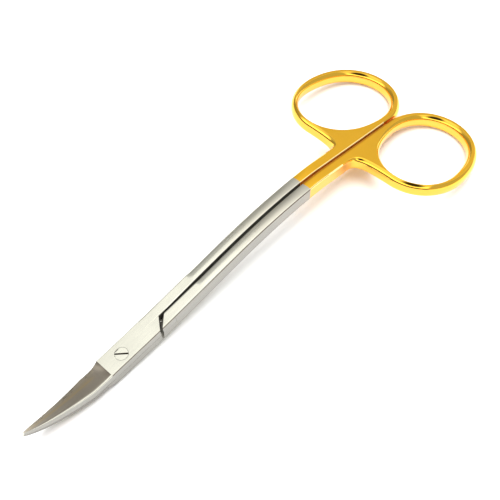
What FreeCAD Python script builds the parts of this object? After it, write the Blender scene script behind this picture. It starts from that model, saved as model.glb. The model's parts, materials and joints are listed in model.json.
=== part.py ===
import FreeCAD, Part
import os
from math import acos, atan2, cos, degrees, hypot, pi, radians, sin

# Curved surgical scissors, closed, 160 mm long.
# The parts are drawn on the joint: the pivot axis is vertical, +X runs to the finger rings,
# +Y to the front half's ring, and z = 0 is the face on which the two halves slide.
# At the end the whole tool is tilted onto its belly and its two rings, as it lies on a table.

# Joint
layerThickness = 2.6        # thickness of one half at the screw
slideGap = 0.06             # running gap between the two sliding faces
jointHalfWidth = 3.15       # half width where the blades begin
shankHalfWidth = 3.25       # half width where the shanks begin
pivotSide = -0.35           # the screw sits a little off the middle line
bladeStart = -5.6           # the blade grinding begins here
shankStart = 9.0            # the full-depth shanks begin here
edgeChamfer = 0.25          # broken edges of joint, shanks and handles

# Notch where one half passes over the other
notchOuter = 10.95          # end of the upper layer at its outer edge
notchInner = 13.65          # end of the upper layer at the middle
notchGapOuter = 0.8         # gap to the other half's shoulder at the outer edge
notchGapInner = 1.45        # gap to the other half's shoulder at the middle
reliefDepth = 0.6           # the notch is filed this deep into the layer below
reliefToe = 0.08            # and runs out to this at the bottom

# Blades
flatReach = 7.0             # the blades bend up beyond this distance from the pivot
bendRadius = 45.0           # radius of the blade curve
bladeReach = 24.9           # length of the curved part, along the curve
taperLength = 20.0          # the blades narrow over this length
taperPower = 0.75           # how full the narrowing outline is
tipHalfWidth = 0.28
tipThickness = 0.9
edgeLand = 0.9              # height of the cutting edge's land at the root
tipLand = 0.45              # height of that land at the tip
spineFlat = 0.3             # what the grinding leaves of the face along the spine
runOut = 3.3                # length over which the grinding runs out

# Hard-metal inserts
insertWidth = 1.6           # at the root
insertRise = 0.38           # the strip stands this far above the land
insertStart = 2.2           # from the start of the blade
insertEnd = 1.0             # from the tip

# Shanks: the top line's points are shares of the shank's length and heights above the joint face
shankLength = 69.4          # from its start to the handle
archFoot = (0.28, 0.65)
archCrest = (0.57, 1.29)
archFall = (0.787, 0.45)
handleDrop = 2.1            # the handle starts this far below the joint face
handleSlope = 14.5          # degrees, the handle plane falls away from the joint face
handleHalfWidth = 3.5
handleDepth = 4.35
shankGap = 0.38             # each shank stays this far from the middle plane
gapAtNotch = 0.15           # and this far where the notch is
gapFullAt = 28.0            # the gap is full from here on
gapChamfer = 0.1            # broken edges along the gap
crownStart = 26.7           # the shanks' upper and lower faces are rounded from here on
crownRise = 0.17            # the rounded faces stand this far above their edges
crownRunOut = 1.6           # length over which the rounding begins

# Handles, measured in the handle plane from the handle start
ringCentre = (32.2, 15.2)
ringRadius = 16.45          # mean radius of the flat's outer edge
ringStretch = 1.63          # the ring is longer than wide
ringLean = -0.4
holeCentre = (31.8, 15.45)
holeRadius = 14.95          # mean radius of the flat's inner edge
holeStretch = 1.95
holeLean = -0.55
wallBulge = 0.7             # the ring's walls swell this far at mid-height
bulgePower = 3.0
neckStart = 8.0             # the neck leaves the shank here
neckInset = 0.12            # the neck starts this far inside the shank's wall
neckRounding = 0.4          # rounding of the neck's edges
neckOverlap = 4.0           # the shank runs this far into the neck
neckCorner = 0.85           # how far the neck's curve is pulled into its corner
neckPull = 2.0              # the neck's curve leaves the corner this far beyond it

# Pivot screw
headRadius = 1.78
headRim = 0.3               # straight part of the head
headDepth = 1.05
shaftRadius = 1.1
headClearance = 0.08
shaftClearance = 0.05
threadClearance = 0.02
endRecess = 0.1             # the screw ends this far inside the rear face
slotWidth = 0.45
slotDepth = 0.5
slotAngle = -45.0           # degrees

bladeSections = 9
runOutSections = 5
shankSections = 9
ovalPoints = 24
far = 60.0                  # reach of the cutting solids
spare = 1.0                 # smaller cuts reach this far past the faces they meet

handleStart = (shankStart + shankLength, layerThickness - handleDrop)


def vec(x, y, z):
    return FreeCAD.Vector(x, y, z)


def polygonWire(points):
    return Part.makePolygon(points + [points[0]])


def prism(outline, low, high):
    """Upright prism over a plan outline of (x, y) points."""
    face = Part.Face(polygonWire([vec(x, y, low) for x, y in outline]))
    return face.extrude(vec(0, 0, high - low))


def turnedOver(shape):
    """The same shape turned half a turn about the length axis."""
    other = shape.copy()
    other.rotate(vec(0, 0, 0), vec(1, 0, 0), 180)
    return other


def mirrored(shape):
    return shape.mirror(vec(0, 0, 0), vec(0, 1, 0))


# Sliding face: flat round the pivot, a turned surface under the blades

def slidingProfile(offset, height):
    """Half section of the solid on one side of the sliding face, in the YZ plane."""
    mid = bendRadius * sin(bladeReach / bendRadius / 2)
    reach = flatReach + bendRadius * sin(1.15 * bladeReach / bendRadius)
    points = []
    for distance in (0.0, mid, reach - flatReach):
        rise = bendRadius - (bendRadius ** 2 - distance ** 2) ** 0.5
        points.append(vec(0, flatReach + distance, rise + offset))
    arc = Part.Arc(*points).toShape()
    centre = vec(0, 0, offset)
    rim = vec(0, reach, height)
    return Part.Wire([
        Part.LineSegment(centre, points[0]).toShape(),
        arc,
        Part.LineSegment(points[2], rim).toShape(),
        Part.LineSegment(rim, vec(0, 0, height)).toShape(),
        Part.LineSegment(vec(0, 0, height), centre).toShape()])


def slidingSide(side):
    """Everything above (side 1) or below (side -1) the sliding face."""
    offset = side * slideGap / 2
    height = side * far
    turned = Part.Face(slidingProfile(offset, height)).revolve(vec(0, 0, 0), vec(0, 0, 1), 180)
    turned.translate(vec(0, pivotSide, 0))
    low, high = sorted((offset, height))
    flat = Part.makeBox(far, 2 * far, high - low, vec(0, -far, low))
    return turned.fuse(flat)


# Blades

def bladeFrame(along):
    """Point on the sliding curve and the upward normal, along the blade from its start."""
    straight = -flatReach - bladeStart
    angle = max(0.0, along + straight) / bendRadius
    if angle > 0:
        x = -flatReach - bendRadius * sin(angle)
        z = bendRadius * (1 - cos(angle))
        return vec(x, 0, z), vec(sin(angle), 0, cos(angle))
    return vec(bladeStart - along, 0, 0), vec(0, 0, 1)


def bladeLength():
    return flatReach + bladeStart + bladeReach


def tipShare(along):
    """0 at the tip, 1 where the narrowing begins."""
    return min(1.0, max(0.0, (bladeLength() - along) / taperLength))


def bladeHalfWidth(along):
    return tipHalfWidth + (jointHalfWidth - tipHalfWidth) * tipShare(along) ** taperPower


def bladeThickness(along):
    return tipThickness + (layerThickness - tipThickness) * (1 - (1 - tipShare(along)) ** 2)


def landHeight(along):
    return edgeLand + (tipLand - edgeLand) * along / bladeLength()


def sectionWire(along, side, points):
    origin, normal = bladeFrame(along)
    return polygonWire([origin + vec(0, side * y, 0) + normal * (side * n) for y, n in points])


def bladeSection(along, side):
    half = bladeHalfWidth(along)
    thick = bladeThickness(along)
    ground = 1 - (1 - min(1.0, along / runOut)) ** 2
    chamfer = edgeChamfer * half / jointHalfWidth
    flat = spineFlat * half / jointHalfWidth
    edge = thick - chamfer
    edge += (landHeight(along) - edge) * ground
    return sectionWire(along, side, [
        (-half, -layerThickness / 2), (-half, thick - chamfer), (-half + chamfer, thick),
        (-half + chamfer + flat, thick), (half, edge), (half, -layerThickness / 2)])


def blade(side):
    """Ground blade of one half; the front half is side 1."""
    root = [runOut * k / (runOutSections - 1) for k in range(runOutSections)]
    rest = bladeLength() - runOut
    reach = [runOut + rest * k / (bladeSections - 1) for k in range(bladeSections)]
    first = Part.makeLoft([bladeSection(s, side) for s in root], True)
    second = Part.makeLoft([bladeSection(s, side) for s in reach], True)
    return first.fuse(second)


def insertPocket(side):
    """Space of the hard-metal strip along the cutting edge."""
    start = insertStart
    length = bladeLength() - insertEnd - start
    wires = []
    for k in range(bladeSections):
        along = start + length * k / (bladeSections - 1)
        half = bladeHalfWidth(along)
        inner = half - insertWidth * half / jointHalfWidth
        top = landHeight(along) + insertRise
        wires.append(sectionWire(along, side, [
            (inner, -layerThickness), (inner, top),
            (half + spare, top), (half + spare, -layerThickness)]))
    return Part.makeLoft(wires, True)


# Joint layer of one half, drawn as the upper one

def layerSection(x, half):
    top = layerThickness
    low = -layerThickness / 2
    c = edgeChamfer
    return polygonWire([vec(x, y, z) for y, z in (
        (-half, low), (-half, top - c), (-half + c, top),
        (half - c, top), (half, top - c), (half, low))])


def jointLayer():
    body = Part.makeLoft([
        layerSection(bladeStart, jointHalfWidth), layerSection(shankStart, shankHalfWidth),
        layerSection(notchInner + spare, shankHalfWidth)], True, True)
    outline = [
        (bladeStart, -far), (notchOuter, -far), (notchOuter, -shankHalfWidth),
        (notchInner, gapAtNotch), (notchInner, shankHalfWidth / 2), (shankStart, shankHalfWidth / 2),
        (shankStart, far), (bladeStart, far)]
    return body.common(prism(outline, -far, far))


def shoulderCut():
    """Plan of what the other half's layer takes out of a shank, on the +Y side."""
    outer = (notchOuter + notchGapOuter, shankHalfWidth)
    inner = (notchInner + notchGapInner, shankGap)
    slant = (inner[0] - outer[0]) / (outer[1] - inner[1]) * spare
    return [
        (0, inner[1] - spare), (inner[0] + slant, inner[1] - spare),
        (outer[0] - slant, outer[1] + spare), (0, outer[1] + spare)]


def reliefCut():
    """The notch carried down the outer wall of the layer below, on the -Y side."""
    wall = -shankHalfWidth
    near = notchOuter
    away = notchOuter + notchGapOuter
    toe = (near + away) / 2
    top = [vec(near, wall - spare, 0), vec(near, wall + reliefDepth, 0),
           vec(away, wall + reliefDepth, 0), vec(away, wall - spare, 0)]
    low = [vec(toe, wall - spare, -layerThickness), vec(toe, wall + reliefToe, -layerThickness),
           vec(toe + reliefToe, wall + reliefToe, -layerThickness),
           vec(toe + reliefToe, wall - spare, -layerThickness)]
    return Part.makeLoft([polygonWire(top), polygonWire(low)], True, True)


# Shank, drawn on the +Y side

def topLine():
    direction = radians(handleSlope)
    points = [vec(shankStart, 0, layerThickness)]
    for share, rise in (archFoot, archCrest, archFall):
        points.append(vec(shankStart + share * shankLength, 0, layerThickness + rise))
    points.append(vec(handleStart[0], 0, handleStart[1]))
    curve = Part.BSplineCurve()
    curve.interpolate(
        Points=points, InitialTangent=vec(1, 0, 0), FinalTangent=vec(cos(direction), 0, -sin(direction)))
    return curve


def crown(x):
    """Height of the rounded faces over their edges at a distance from the pivot."""
    begins = min(1.0, max(0.0, (x - crownStart) / crownRunOut))
    ends = min(1.0, max(0.0, (handleStart[0] - x) / (shankLength * (1 - archFall[0]))))
    return crownRise * begins * ends


def shankSection(curve, t):
    """Cross-section square to the top line at a parameter of that line."""
    point = curve.value(t)
    tangent = curve.tangent(t)[0]
    normal = vec(tangent.z, 0, -tangent.x)
    share = (point.x - shankStart) / shankLength
    outer = shankHalfWidth + (handleHalfWidth - shankHalfWidth) * share
    depth = 2 * layerThickness + (handleDepth - 2 * layerThickness) * share
    opened = min(1.0, (point.x - shankStart) / (gapFullAt - shankStart))
    inner = gapAtNotch + (shankGap - gapAtNotch) * opened
    rise = 2 * crown(point.x)
    c = edgeChamfer
    g = gapChamfer
    middle = (inner + outer) / 2
    corners = [(inner + g, 0), (outer - c, 0), (outer, c), (outer, depth - c),
               (outer - c, depth), (inner + g, depth), (inner, depth - g), (inner, g)]
    corners = [point + vec(0, y, 0) + normal * n for y, n in corners]
    edges = []
    for k, corner in enumerate(corners):
        following = corners[(k + 1) % len(corners)]
        bulge = {0: -rise, 4: depth + rise}.get(k)
        if bulge is None:
            edges.append(Part.LineSegment(corner, following).toShape())
        else:
            face = Part.BezierCurve()
            face.setPoles([corner, point + vec(0, middle, 0) + normal * bulge, following])
            edges.append(face.toShape())
    return Part.Wire(edges)


def shank():
    curve = topLine()
    first = curve.FirstParameter
    last = curve.LastParameter
    change = curve.parameter(vec(crownStart, 0, layerThickness + archFoot[1]))
    settled = curve.parameter(vec(crownStart + crownRunOut, 0, layerThickness + archFoot[1]))
    flat = [first + (change - first) * k / 2 for k in range(3)]
    runIn = [change, (change + settled) / 2]
    rounded = [settled + (last - settled) * k / (shankSections - 1) for k in range(shankSections)]
    plain = Part.makeLoft([shankSection(curve, t) for t in flat], True)
    crowned = Part.makeLoft([shankSection(curve, t) for t in runIn + rounded], True)
    tangent = curve.tangent(last)[0]
    straight = Part.Face(shankSection(curve, last)).extrude(tangent * (neckStart + neckOverlap))
    return plain.fuse([crowned, straight])


# Handle, drawn in its own plane: x from the handle start, y to the side, z = 0 on its top face

def ovalPoint(centre, radius, stretch, lean, angle, z):
    r = radius + stretch * cos(2 * angle) + lean * sin(2 * angle)
    return vec(centre[0] + r * cos(angle), centre[1] + r * sin(angle), z)


def ovalWire(centre, radius, stretch, lean, z):
    angles = [2 * pi * k / ovalPoints for k in range(ovalPoints)]
    curve = Part.BSplineCurve()
    curve.interpolate(
        Points=[ovalPoint(centre, radius, stretch, lean, a, z) for a in angles],
        PeriodicFlag=True)
    return Part.Wire(curve.toShape())


def swelling(share):
    """How far the ring's wall stands out at a share of its depth."""
    return wallBulge * (1 - abs(1 - 2 * share) ** bulgePower)


def wallShares():
    """Shares of the handle's depth at which its outline is drawn."""
    edge = edgeChamfer / handleDepth
    upper = [0.0, edge, 0.13, 0.22, 0.34]
    return upper + [0.5] + [1 - share for share in reversed(upper)]


def holeBody():
    wires = []
    for share in wallShares():
        radius = holeRadius - swelling(share)
        wires.append(ovalWire(holeCentre, radius, holeStretch, holeLean, -handleDepth * share))
    return Part.makeLoft(wires, True)


def handleWire(share):
    """Outline of neck and ring at one share of the depth; it starts just inside the shank."""
    z = -handleDepth * share
    radius = ringRadius + swelling(share)
    side = handleHalfWidth - neckInset - (neckRounding if share in (0, 1) else 0)
    start = vec(neckStart, side, z)
    join = ovalPoint(ringCentre, radius, ringStretch, ringLean, pi, z)
    corner = vec(join.x, side, z)
    neck = Part.BezierCurve()
    neck.setPoles([start, start + (corner - start) * neckCorner, corner + vec(0, neckPull, 0), join])
    sweep = [pi - 1.5 * pi * k / ovalPoints for k in range(ovalPoints + 1)]
    oval = Part.BSplineCurve()
    oval.interpolate([ovalPoint(ringCentre, radius, ringStretch, ringLean, a, z) for a in sweep])
    end = oval.EndPoint
    foot = vec(neckStart, -1, z)
    heel = vec(end.x, -1, z)
    return Part.Wire([
        neck.toShape(),
        oval.toShape(),
        Part.LineSegment(end, heel).toShape(),
        Part.LineSegment(heel, foot).toShape(),
        Part.LineSegment(foot, start).toShape()])


def gapCorner(z, sense):
    """Corner of the handle along the gap, broken by the chamfer; sense points into the handle."""
    outside = z - sense * spare
    points = [vec(0, shankGap - spare, outside), vec(0, shankGap + gapChamfer + spare, outside),
              vec(0, shankGap - spare, z + sense * (gapChamfer + spare))]
    return Part.Face(polygonWire(points)).extrude(vec(far, 0, 0))


def handle():
    body = Part.makeLoft([handleWire(share) for share in wallShares()], True)
    side = Part.makeBox(far * 2, far, far, vec(-far / 2, shankGap, -far / 2))
    body = body.common(side).cut([holeBody(), gapCorner(0, -1), gapCorner(-handleDepth, 1)])
    body.rotate(vec(0, 0, 0), vec(0, 1, 0), handleSlope)
    body.translate(vec(handleStart[0], 0, handleStart[1]))
    return body


# Screw

def turnedPin(clearHead, clearShaft, top, bottom):
    """Countersunk pin, or the space for it, about the pivot axis."""
    rim = headRadius + clearHead
    shaft = shaftRadius + clearShaft
    cone = layerThickness - headDepth - clearHead
    step = layerThickness - headRim - clearHead
    points = [
        (0, bottom), (shaft, bottom), (shaft, cone), (rim, step), (rim, top), (0, top)]
    face = Part.Face(polygonWire([vec(r, 0, z) for r, z in points]))
    pin = face.revolve(vec(0, 0, 0), vec(0, 0, 1), 360)
    pin.translate(vec(0, pivotSide, 0))
    return pin


def pivotScrew():
    pin = turnedPin(0, 0, layerThickness, -layerThickness + endRecess)
    slot = Part.makeBox(2 * far, slotWidth, far, vec(-far, -slotWidth / 2, layerThickness - slotDepth))
    slot.rotate(vec(0, 0, 0), vec(0, 0, 1), slotAngle)
    slot.translate(vec(0, pivotSide, 0))
    return pin.cut(slot)


# Halves

def halfBody(side):
    """Blank of one half before the insert's pocket is cut; the front half is side 1."""
    layer = jointLayer()
    bar = shank().cut(prism(shoulderCut(), -far, slideGap / 2))
    relief = reliefCut()
    if side < 0:
        layer = turnedOver(layer)
        bar = mirrored(shank()).cut(turnedOver(prism(shoulderCut(), -far, slideGap / 2)))
    else:
        relief = turnedOver(relief)
    head = layer.fuse(blade(side)).common(slidingSide(side)).cut(relief)
    grip = handle() if side > 0 else mirrored(handle())
    return head.fuse([bar, grip]).removeSplitter()


def splitInsert(body, side):
    pocket = insertPocket(side)
    return body.cut(pocket), body.common(pocket)


def restTilt():
    """Angle that lays the belly of the blades and the far end of the rings on the table."""
    slope = radians(handleSlope)
    ringEnd = ringCentre[0] + ringRadius + ringStretch
    x = handleStart[0] + ringEnd * cos(slope) - handleDepth * sin(slope)
    z = handleStart[1] - ringEnd * sin(slope) - handleDepth * cos(slope)
    across = x + flatReach
    down = bendRadius - z
    belly = bendRadius + layerThickness
    return degrees(acos(belly / hypot(across, down)) - atan2(across, down))


def laidDown(shapes):
    """The tool as it lies: tilted, its box centred in plan, its lowest point at z = 0."""
    placed = []
    for shape in shapes:
        shape = shape.copy()
        shape.rotate(vec(0, 0, 0), vec(0, 1, 0), -restTilt())
        placed.append(shape)
    box = Part.makeCompound(placed).optimalBoundingBox(False, False)
    middle = vec((box.XMin + box.XMax) / 2, (box.YMin + box.YMax) / 2, box.ZMin)
    for shape in placed:
        shape.translate(vec(0, 0, 0) - middle)
    pivot = FreeCAD.Rotation(vec(0, 1, 0), -restTilt()).multVec(vec(0, pivotSide, 0)) - middle
    return placed, pivot


def main():
    frontBlank, frontInsert = splitInsert(halfBody(1), 1)
    rearBlank, rearInsert = splitInsert(halfBody(-1), -1)
    frontBlank = frontBlank.cut(turnedPin(headClearance, shaftClearance, far, -far))
    rearBlank = rearBlank.cut(turnedPin(0, threadClearance, far, -far))
    names = ["front_half", "rear_half", "pivot_screw", "front_edge_insert", "rear_edge_insert"]
    shapes, pivot = laidDown([frontBlank, rearBlank, pivotScrew(), frontInsert, rearInsert])
    os.makedirs("parts", exist_ok=True)
    for name, shape in zip(names, shapes):
        solids = shape.Solids
        solid = solids[0] if len(solids) == 1 else Part.makeCompound(solids)
        solid.exportStep("parts/" + name + ".step")
        print(name, len(solids), "solid", round(shape.Volume, 2), "mm3", shape.isValid())
    print("pivot axis through", [round(v, 4) for v in pivot], "tilt", round(restTilt(), 4))


main()
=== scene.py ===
import json
import math

import bmesh
import bpy
import numpy as np
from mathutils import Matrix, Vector
from mathutils.geometry import delaunay_2d_cdt


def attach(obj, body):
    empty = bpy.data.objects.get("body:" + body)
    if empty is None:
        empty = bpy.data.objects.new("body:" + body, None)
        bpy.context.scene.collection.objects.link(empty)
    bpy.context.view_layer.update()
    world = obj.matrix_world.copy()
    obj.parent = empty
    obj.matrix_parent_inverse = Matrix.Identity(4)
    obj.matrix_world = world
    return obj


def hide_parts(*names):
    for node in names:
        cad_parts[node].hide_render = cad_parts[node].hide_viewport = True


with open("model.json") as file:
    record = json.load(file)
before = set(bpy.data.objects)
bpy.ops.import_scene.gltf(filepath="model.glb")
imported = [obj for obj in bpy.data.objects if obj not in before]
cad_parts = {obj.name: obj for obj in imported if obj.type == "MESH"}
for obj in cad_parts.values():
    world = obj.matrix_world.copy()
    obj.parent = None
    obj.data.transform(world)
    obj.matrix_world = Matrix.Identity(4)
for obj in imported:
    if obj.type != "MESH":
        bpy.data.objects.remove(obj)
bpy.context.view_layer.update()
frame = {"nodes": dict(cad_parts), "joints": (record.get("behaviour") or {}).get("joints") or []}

scene = bpy.context.scene


def addNode(tree, kind, label="", **values):
    node = tree.nodes.new(kind)
    if label:
        node.label = label
    for name, value in values.items():
        setattr(node, name, value)
    return node


def setInputs(node, **values):
    for name, value in values.items():
        node.inputs[name].default_value = value


# Numbers and colours are set on the sockets, outputs are linked to them
def feed(tree, node, values):
    for key, value in values:
        if isinstance(value, (int, float)):
            node.inputs[key].default_value = value
        elif isinstance(value, tuple):
            node.inputs[key].default_value = (*value, 1.0) if len(value) == 3 else value
        elif value is not None:
            tree.links.new(value, node.inputs[key])


def newGroup(name, inputs, outputs):
    group = bpy.data.node_groups.new(name, "ShaderNodeTree")
    for socketName, kind, value in inputs:
        socket = group.interface.new_socket(socketName, in_out="INPUT", socket_type=kind)
        if value is not None:
            socket.default_value = value
    for socketName, kind in outputs:
        group.interface.new_socket(socketName, in_out="OUTPUT", socket_type=kind)
    return group, addNode(group, "NodeGroupInput"), addNode(group, "NodeGroupOutput")


def newMaterial(name):
    material = bpy.data.materials.new(name)
    material.use_nodes = True
    tree = material.node_tree
    tree.nodes.clear()
    output = addNode(tree, "ShaderNodeOutputMaterial")
    shader = addNode(tree, "ShaderNodeBsdfPrincipled", "surface")
    tree.links.new(shader.outputs["BSDF"], output.inputs["Surface"])
    coords = addNode(tree, "ShaderNodeTexCoord")
    return material, tree, shader, coords.outputs["Object"]


def mathNode(tree, operation, first, second=None, third=None, label=""):
    node = addNode(tree, "ShaderNodeMath", label, operation=operation)
    feed(tree, node, enumerate((first, second, third)))
    return node.outputs[0]


def rangeNode(tree, value, low, high, toLow=0.0, toHigh=1.0, smooth=True, label=""):
    node = addNode(tree, "ShaderNodeMapRange", label)
    node.interpolation_type = "SMOOTHSTEP" if smooth else "LINEAR"
    node.clamp = True
    tree.links.new(value, node.inputs["Value"])
    setInputs(node, **{"From Min": low, "From Max": high, "To Min": toLow, "To Max": toHigh})
    return node.outputs["Result"]


def mixColour(tree, factor, first, second, label="", blend="MIX"):
    node = addNode(tree, "ShaderNodeMix", label, data_type="RGBA", blend_type=blend)
    feed(tree, node, ((0, factor), (6, first), (7, second)))
    return node.outputs[2]


def mixValue(tree, factor, first, second, label=""):
    node = addNode(tree, "ShaderNodeMix", label, data_type="FLOAT")
    feed(tree, node, ((0, factor), (2, first), (3, second)))
    return node.outputs[0]


# Kinds are whole numbers, and shares between them round to the nearest
def equals(tree, value, kind):
    return mathNode(tree, "COMPARE", value, kind, 0.5)


# How far something reaches along a fixed direction
def dotNode(tree, direction, towards, label=""):
    node = addNode(tree, "ShaderNodeVectorMath", label, operation="DOT_PRODUCT")
    tree.links.new(direction, node.inputs[0])
    node.inputs[1].default_value = towards
    return node.outputs["Value"]


grains = {
    "lineDetail": 4.0, "lineRoughness": 0.6, "cloudDetail": 3.0, "cloudRoughness": 0.5,
    "pitScale": 900.0, "pitSize": (0.05, 0.16),
}


# Stainless and plated faces: fine grinding lines along the tool, faint cloudiness, tiny pits
def satinGroup():
    s = grains
    group, entry, result = newGroup(
        "satinGrain",
        [("Position", "NodeSocketVector", None), ("Line Scale", "NodeSocketFloat", 3000.0),
         ("Line Stretch", "NodeSocketFloat", 0.03), ("Cloud Scale", "NodeSocketFloat", 120.0),
         ("Pit Amount", "NodeSocketFloat", 0.1)],
        [("Lines", "NodeSocketFloat"), ("Clouds", "NodeSocketFloat"), ("Pits", "NodeSocketFloat"),
         ("Height", "NodeSocketFloat")])
    stretch = addNode(group, "ShaderNodeCombineXYZ", "long way")
    group.links.new(entry.outputs["Line Stretch"], stretch.inputs["X"])
    setInputs(stretch, Y=1.0, Z=1.0)
    scaled = addNode(group, "ShaderNodeVectorMath", operation="MULTIPLY")
    group.links.new(entry.outputs["Position"], scaled.inputs[0])
    group.links.new(stretch.outputs[0], scaled.inputs[1])
    lines = addNode(group, "ShaderNodeTexNoise", "grinding lines", normalize=True)
    setInputs(lines, Detail=s["lineDetail"], Roughness=s["lineRoughness"])
    group.links.new(scaled.outputs[0], lines.inputs["Vector"])
    group.links.new(entry.outputs["Line Scale"], lines.inputs["Scale"])
    clouds = addNode(group, "ShaderNodeTexNoise", "cloudiness", normalize=True)
    setInputs(clouds, Detail=s["cloudDetail"], Roughness=s["cloudRoughness"])
    group.links.new(entry.outputs["Position"], clouds.inputs["Vector"])
    group.links.new(entry.outputs["Cloud Scale"], clouds.inputs["Scale"])
    pits = addNode(group, "ShaderNodeTexVoronoi", "pits")
    setInputs(pits, Scale=s["pitScale"], Randomness=1.0)
    group.links.new(entry.outputs["Position"], pits.inputs["Vector"])
    pitMask = rangeNode(group, pits.outputs["Distance"], *s["pitSize"], 1.0, 0.0)
    pitMask = mathNode(group, "MULTIPLY", pitMask, entry.outputs["Pit Amount"])
    height = mathNode(group, "SUBTRACT", lines.outputs["Fac"], pitMask)
    group.links.new(lines.outputs["Fac"], result.inputs["Lines"])
    group.links.new(clouds.outputs["Fac"], result.inputs["Clouds"])
    group.links.new(pitMask, result.inputs["Pits"])
    group.links.new(height, result.inputs["Height"])
    return group


satinGrain = satinGroup()


# amounts holds the line scale, the line stretch, the cloud scale and the amount of pits
def grainNode(tree, position, amounts):
    grain = addNode(tree, "ShaderNodeGroup", "grain", node_tree=satinGrain)
    tree.links.new(position, grain.inputs["Position"])
    setInputs(grain, **dict(zip(("Line Scale", "Line Stretch", "Cloud Scale", "Pit Amount"), amounts)))
    return grain.outputs


print("groups built")

# How the tool lies
hinge = frame["joints"][0]
toolUp = Vector(hinge["axis"]).normalized()          # along the screw
toolSide = Vector((0.0, 1.0, 0.0))
toolAlong = toolSide.cross(toolUp)                   # from the screw to the rings
screwOffset = -0.35                                  # millimetres, the screw is off the middle line
metresPerUnit, unitsPerMetre = 0.001, 1000           # shapes are given in millimetres
toolMiddle = Vector(hinge["pos_m"]) - toolSide * screwOffset * metresPerUnit


# From millimetres along, across and square to the sliding face to the scene's metres
def place(point):
    along, side, up = point
    return toolMiddle + (toolAlong * along + toolSide * side + toolUp * up) * metresPerUnit


# Collects closed skins, given in millimetres, and makes one mesh object of them
class Shell:
    def __init__(self):
        self.work = bmesh.new()
        self.finishes = self.work.faces.layers.float.new("finish")

    # columns gives the finish of each column of faces, cap that of the first end
    def loft(self, rings, capStart=True, capEnd=True, columns=None, cap=0.0, rowFinish=None):
        rows = [[self.work.verts.new(place(p)) for p in ring] for ring in rings]
        count = len(rows[0])
        for row, (near, far) in enumerate(zip(rows, rows[1:])):
            for k in range(count):
                j = (k + 1) % count
                face = self.work.faces.new((near[k], near[j], far[j], far[k]))
                face.smooth = True
                finish = columns.get(k, 0.0) if columns else 0.0
                if rowFinish and rowFinish(row, k) is not None:
                    finish = rowFinish(row, k)
                face[self.finishes] = finish
        if capStart:
            face = self.work.faces.new(list(reversed(rows[0])))
            face[self.finishes] = cap
        if capEnd:
            self.work.faces.new(rows[-1])
        return rows

    # Flat face between an outer loop and the holes in it, on vertices that are already there
    def plate(self, outer, holes):
        loops = [outer] + holes
        verts = [v for loop in loops for v in loop]
        flat = []
        for v in verts:
            offset = (v.co - toolMiddle) * unitsPerMetre
            flat.append(Vector((offset.dot(toolAlong), offset.dot(toolSide))))
        edges, start = [], 0
        for loop in loops:
            edges += [(start + k, start + (k + 1) % len(loop)) for k in range(len(loop))]
            start += len(loop)
        _, _, faces, origin, _, _ = delaunay_2d_cdt(flat, edges, [], 0, 1e-6)
        border = [(v.x, v.y) for v in flat[:len(outer)]]
        gaps = [[(v.x, v.y) for v in flat[a:b]] for a, b in self.spans(loops)]
        for face in [[origin[i][0] for i in face] for face in faces]:
            if self.inside(flat, face, border) and not any(self.inside(flat, face, gap) for gap in gaps):
                self.work.faces.new([verts[i] for i in face]).smooth = False

    # Where each hole's vertices begin and end in the list of all of them
    def spans(self, loops):
        start, result = len(loops[0]), []
        for loop in loops[1:]:
            result.append((start, start + len(loop)))
            start += len(loop)
        return result

    # Whether the middle of a face lies inside a border, by counting crossings
    def inside(self, flat, face, border):
        x = sum(flat[i].x for i in face) / len(face)
        y = sum(flat[i].y for i in face) / len(face)
        hit = False
        for (x1, y1), (x2, y2) in zip(border, border[1:] + border[:1]):
            if (y1 > y) != (y2 > y) and x < (x2 - x1) * (y - y1) / (y2 - y1) + x1:
                hit = not hit
        return hit

    def finish(self, name):
        mesh = bpy.data.meshes.new(name)
        bmesh.ops.recalc_face_normals(self.work, faces=self.work.faces)
        self.work.to_mesh(mesh)
        self.work.free()
        piece = bpy.data.objects.new(name, mesh)
        scene.collection.objects.link(piece)
        return evenShading(piece, shading["shellCrease"])


# Kinds of finish, kept on the faces; wall carries painted shade on the steel, edge a painted dark line on
# the steel, a painted highlight on the gold and painted shade on the insert's land, rim a painted highlight
polished, ground, wall, inGap, edge, rim = 0.0, 1.0, 2.0, 3.0, 4.0, 5.0


def finishColumns(**spans):
    kinds = {"wall": wall, "inGap": inGap, "edge": edge, "rim": rim}
    return {k: kinds[name] for name, columns in spans.items() for k in columns}


shading = {"shellCrease": 32.0, "screwCrease": 30.0, "weight": 50}     # creases in degrees


def evenShading(piece, creaseAngle):
    piece.data.set_sharp_from_angle(angle=math.radians(creaseAngle))
    weighted = piece.modifiers.new("evenFaces", "WEIGHTED_NORMAL")
    weighted.mode = "FACE_AREA"
    weighted.weight = shading["weight"]
    weighted.keep_sharp = True
    depsgraph = bpy.context.evaluated_depsgraph_get()
    mesh = bpy.data.meshes.new_from_object(piece.evaluated_get(depsgraph))
    piece.modifiers.clear()
    piece.data = mesh
    return piece


# count equal steps, both ends included
def spread(first, last, count):
    return [first + (last - first) * k / count for k in range(count + 1)]


# (inset, drop) pairs from the flat face round to the wall
def cornerRounding(size, steps=4):
    angles = spread(0.0, math.pi / 2, steps)
    return [(size * (1 - math.sin(a)), size * (1 - math.cos(a))) for a in angles]


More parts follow.
